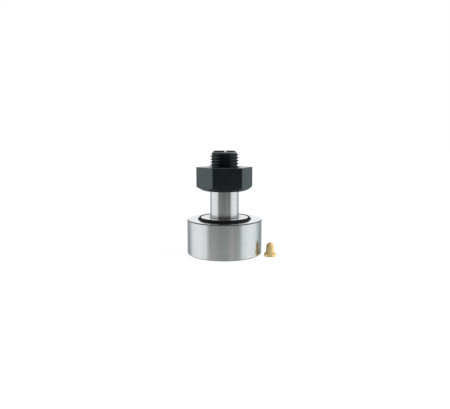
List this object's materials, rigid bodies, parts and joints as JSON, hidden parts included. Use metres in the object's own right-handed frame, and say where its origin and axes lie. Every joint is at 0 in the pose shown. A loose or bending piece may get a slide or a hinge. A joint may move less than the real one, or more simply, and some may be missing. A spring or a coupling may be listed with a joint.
{
  "type": "cam follower",
  "caption": "Stud-type cam follower: a sealed needle-bearing roller on a stud with a fine-threaded, slotted end, a hex nut and a loose drive-in grease nipple.",
  "frame": {"origin": "on the stud's axis, in the plane of the head's outer face", "axes": "+Z along the stud from the head to the thread's end; -Y towards the picture's viewer; the loose grease nipple stands on the +X side"},
  "size_m": [0.0306, 0.026, 0.036],
  "materials": {
    "roller_steel": "ground, satin bright",
    "plate_steel": "turned, bright",
    "stud_steel": "ground bright shank, black-oxide thread",
    "needle_steel": "ground and lapped",
    "cage_steel": "pressed, matt",
    "spring_steel": "drawn wire",
    "black_oxide_steel": "black oxide, satin",
    "seal_rubber": "moulded, satin black",
    "brass": "turned, bright"
  },
  "bodies": {
    "stud": {"stud": "stud_steel", "side_plate": "plate_steel"},
    "roller": {"outer_ring": "roller_steel", "upper_seal": "seal_rubber", "lower_seal": "seal_rubber"},
    "cage": {"cage": "cage_steel"},
    "needle_01": {"needle_01": "needle_steel"},
    "needle_02": {"needle_02": "needle_steel"},
    "needle_03": {"needle_03": "needle_steel"},
    "needle_04": {"needle_04": "needle_steel"},
    "needle_05": {"needle_05": "needle_steel"},
    "needle_06": {"needle_06": "needle_steel"},
    "needle_07": {"needle_07": "needle_steel"},
    "needle_08": {"needle_08": "needle_steel"},
    "needle_09": {"needle_09": "needle_steel"},
    "needle_10": {"needle_10": "needle_steel"},
    "needle_11": {"needle_11": "needle_steel"},
    "needle_12": {"needle_12": "needle_steel"},
    "needle_13": {"needle_13": "needle_steel"},
    "needle_14": {"needle_14": "needle_steel"},
    "needle_15": {"needle_15": "needle_steel"},
    "nut": {"hex_nut": "black_oxide_steel"},
    "nipple": {"nipple_body": "brass", "nipple_spring": "spring_steel"},
    "nipple_valve": {"nipple_ball": "needle_steel"}
  },
  "joints": [
    {"name": "roller_spin", "type": "hinge", "parent": "stud", "child": "roller", "pos_m": [0, 0, 0.0064], "axis": [0, 0, 1], "continuous": true},
    {"name": "cage_spin", "type": "hinge", "parent": "stud", "child": "cage", "pos_m": [0, 0, 0.0064], "axis": [0, 0, 1], "continuous": true},
    {"name": "needle_01_spin", "type": "hinge", "parent": "cage", "child": "needle_01", "pos_m": [0.00704, 0, 0.0064], "axis": [0, 0, 1], "continuous": true},
    {"name": "needle_02_spin", "type": "hinge", "parent": "cage", "child": "needle_02", "pos_m": [0.00643, 0.00286, 0.0064], "axis": [0, 0, 1], "continuous": true},
    {"name": "needle_03_spin", "type": "hinge", "parent": "cage", "child": "needle_03", "pos_m": [0.00471, 0.00523, 0.0064], "axis": [0, 0, 1], "continuous": true},
    {"name": "needle_04_spin", "type": "hinge", "parent": "cage", "child": "needle_04", "pos_m": [0.00218, 0.0067, 0.0064], "axis": [0, 0, 1], "continuous": true},
    {"name": "needle_05_spin", "type": "hinge", "parent": "cage", "child": "needle_05", "pos_m": [-0.00074, 0.007, 0.0064], "axis": [0, 0, 1], "continuous": true},
    {"name": "needle_06_spin", "type": "hinge", "parent": "cage", "child": "needle_06", "pos_m": [-0.00352, 0.0061, 0.0064], "axis": [0, 0, 1], "continuous": true},
    {"name": "needle_07_spin", "type": "hinge", "parent": "cage", "child": "needle_07", "pos_m": [-0.0057, 0.00414, 0.0064], "axis": [0, 0, 1], "continuous": true},
    {"name": "needle_08_spin", "type": "hinge", "parent": "cage", "child": "needle_08", "pos_m": [-0.00689, 0.00146, 0.0064], "axis": [0, 0, 1], "continuous": true},
    {"name": "needle_09_spin", "type": "hinge", "parent": "cage", "child": "needle_09", "pos_m": [-0.00689, -0.00146, 0.0064], "axis": [0, 0, 1], "continuous": true},
    {"name": "needle_10_spin", "type": "hinge", "parent": "cage", "child": "needle_10", "pos_m": [-0.0057, -0.00414, 0.0064], "axis": [0, 0, 1], "continuous": true},
    {"name": "needle_11_spin", "type": "hinge", "parent": "cage", "child": "needle_11", "pos_m": [-0.00352, -0.0061, 0.0064], "axis": [0, 0, 1], "continuous": true},
    {"name": "needle_12_spin", "type": "hinge", "parent": "cage", "child": "needle_12", "pos_m": [-0.00074, -0.007, 0.0064], "axis": [0, 0, 1], "continuous": true},
    {"name": "needle_13_spin", "type": "hinge", "parent": "cage", "child": "needle_13", "pos_m": [0.00218, -0.0067, 0.0064], "axis": [0, 0, 1], "continuous": true},
    {"name": "needle_14_spin", "type": "hinge", "parent": "cage", "child": "needle_14", "pos_m": [0.00471, -0.00523, 0.0064], "axis": [0, 0, 1], "continuous": true},
    {"name": "needle_15_spin", "type": "hinge", "parent": "cage", "child": "needle_15", "pos_m": [0.00643, -0.00286, 0.0064], "axis": [0, 0, 1], "continuous": true},
    {"name": "nut_travel", "type": "slide", "parent": "stud", "child": "nut", "axis": [0, 0, 1], "range_m": [0, 0.03]},
    {"name": "nipple_lift", "type": "slide", "parent": "stud", "child": "nipple", "axis": [0, 0, 1], "range_m": [0, 0.03]},
    {"name": "valve_ball", "type": "slide", "parent": "nipple", "child": "nipple_valve", "axis": [0, 0, 1], "range_m": [0, 0.0005], "stiffness_N_per_m": 200, "deforming": ["nipple_spring"]}
  ],
  "couplings": [
    {"joint": "cage_spin", "follows": "roller_spin", "ratio": 0.57102},
    {"joint": "needle_01_spin", "follows": "roller_spin", "ratio": 3.449},
    {"joint": "needle_02_spin", "follows": "roller_spin", "ratio": 3.449},
    {"joint": "needle_03_spin", "follows": "roller_spin", "ratio": 3.449},
    {"joint": "needle_04_spin", "follows": "roller_spin", "ratio": 3.449},
    {"joint": "needle_05_spin", "follows": "roller_spin", "ratio": 3.449},
    {"joint": "needle_06_spin", "follows": "roller_spin", "ratio": 3.449},
    {"joint": "needle_07_spin", "follows": "roller_spin", "ratio": 3.449},
    {"joint": "needle_08_spin", "follows": "roller_spin", "ratio": 3.449},
    {"joint": "needle_09_spin", "follows": "roller_spin", "ratio": 3.449},
    {"joint": "needle_10_spin", "follows": "roller_spin", "ratio": 3.449},
    {"joint": "needle_11_spin", "follows": "roller_spin", "ratio": 3.449},
    {"joint": "needle_12_spin", "follows": "roller_spin", "ratio": 3.449},
    {"joint": "needle_13_spin", "follows": "roller_spin", "ratio": 3.449},
    {"joint": "needle_14_spin", "follows": "roller_spin", "ratio": 3.449},
    {"joint": "needle_15_spin", "follows": "roller_spin", "ratio": 3.449}
  ]
}
